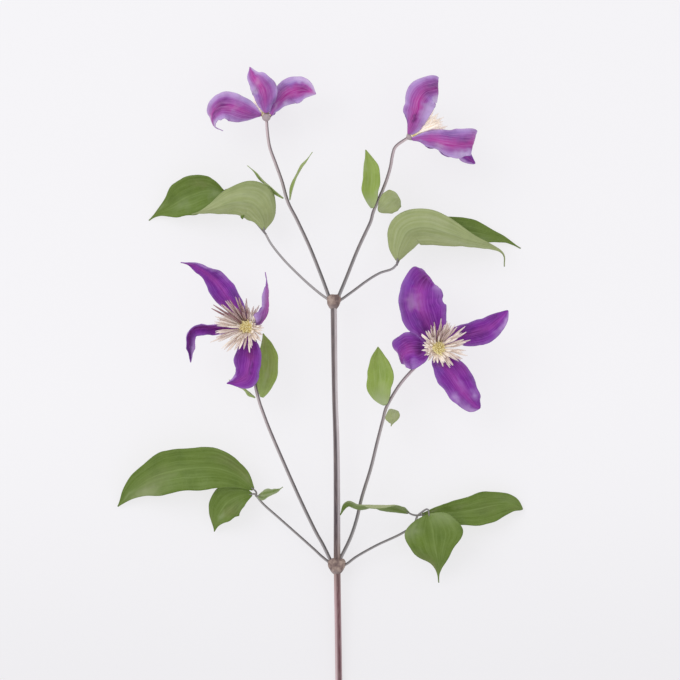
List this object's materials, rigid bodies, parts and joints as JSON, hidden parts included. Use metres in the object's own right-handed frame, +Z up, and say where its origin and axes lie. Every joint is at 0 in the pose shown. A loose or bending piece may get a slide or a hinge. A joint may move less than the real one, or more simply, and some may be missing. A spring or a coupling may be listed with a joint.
{
  "type": "clematis flower",
  "caption": "Cut clematis stem lying flat, with open violet flowers round cream stamens on slender stalks, small bracts and divided leaves in opposite pairs.",
  "frame": {"origin": "on the table, at the middle of the stem's footprint", "axes": "+Y runs up the stem towards the flowers, +X to the right of the stem seen from above, +Z up from the table"},
  "size_m": [0.2254, 0.3756, 0.0486],
  "materials": {
    "stem_bark": "matt, slightly ribbed",
    "leaf_green": "satin leaf surface",
    "bract_green": "satin leaf surface",
    "tepal_violet": "velvety petal surface",
    "stamen_cream": "matt",
    "carpel_green": "matt, finely hairy"
  },
  "bodies": {
    "root": {"bract_a_left": "bract_green", "bract_a_right": "bract_green", "bract_b_left": "bract_green", "bract_b_right": "bract_green", "bract_c_left": "bract_green", "bract_c_right": "bract_green", "bract_d_left": "bract_green", "bract_d_right": "bract_green", "flower_a_carpels": "carpel_green", "flower_a_stamens": "stamen_cream", "flower_a_tepal_far": "tepal_violet", "flower_a_tepal_left": "tepal_violet", "flower_a_tepal_near": "tepal_violet", "flower_a_tepal_right": "tepal_violet", "flower_b_carpels": "carpel_green", "flower_b_stamens": "stamen_cream", "flower_b_tepal_lower_far": "tepal_violet", "flower_b_tepal_lower_near": "tepal_violet", "flower_b_tepal_upper_far": "tepal_violet", "flower_b_tepal_upper_near": "tepal_violet", "flower_c_carpels": "carpel_green", "flower_c_stamens": "stamen_cream", "flower_c_tepal_left": "tepal_violet", "flower_c_tepal_lower": "tepal_violet", "flower_c_tepal_right": "tepal_violet", "flower_c_tepal_upper": "tepal_violet", "flower_d_carpels": "carpel_green", "flower_d_stamens": "stamen_cream", "flower_d_tepal_left": "tepal_violet", "flower_d_tepal_lower": "tepal_violet", "flower_d_tepal_right": "tepal_violet", "flower_d_tepal_upper": "tepal_violet", "leaf_lower_left_side": "leaf_green", "leaf_lower_left_small": "leaf_green", "leaf_lower_left_terminal": "leaf_green", "leaf_lower_right_left": "leaf_green", "leaf_lower_right_side": "leaf_green", "leaf_lower_right_terminal": "leaf_green", "leaf_upper_left_lateral": "leaf_green", "leaf_upper_left_terminal": "leaf_green", "leaf_upper_right_lateral": "leaf_green", "leaf_upper_right_terminal": "leaf_green", "stem": "stem_bark"}
  },
  "joints": []
}
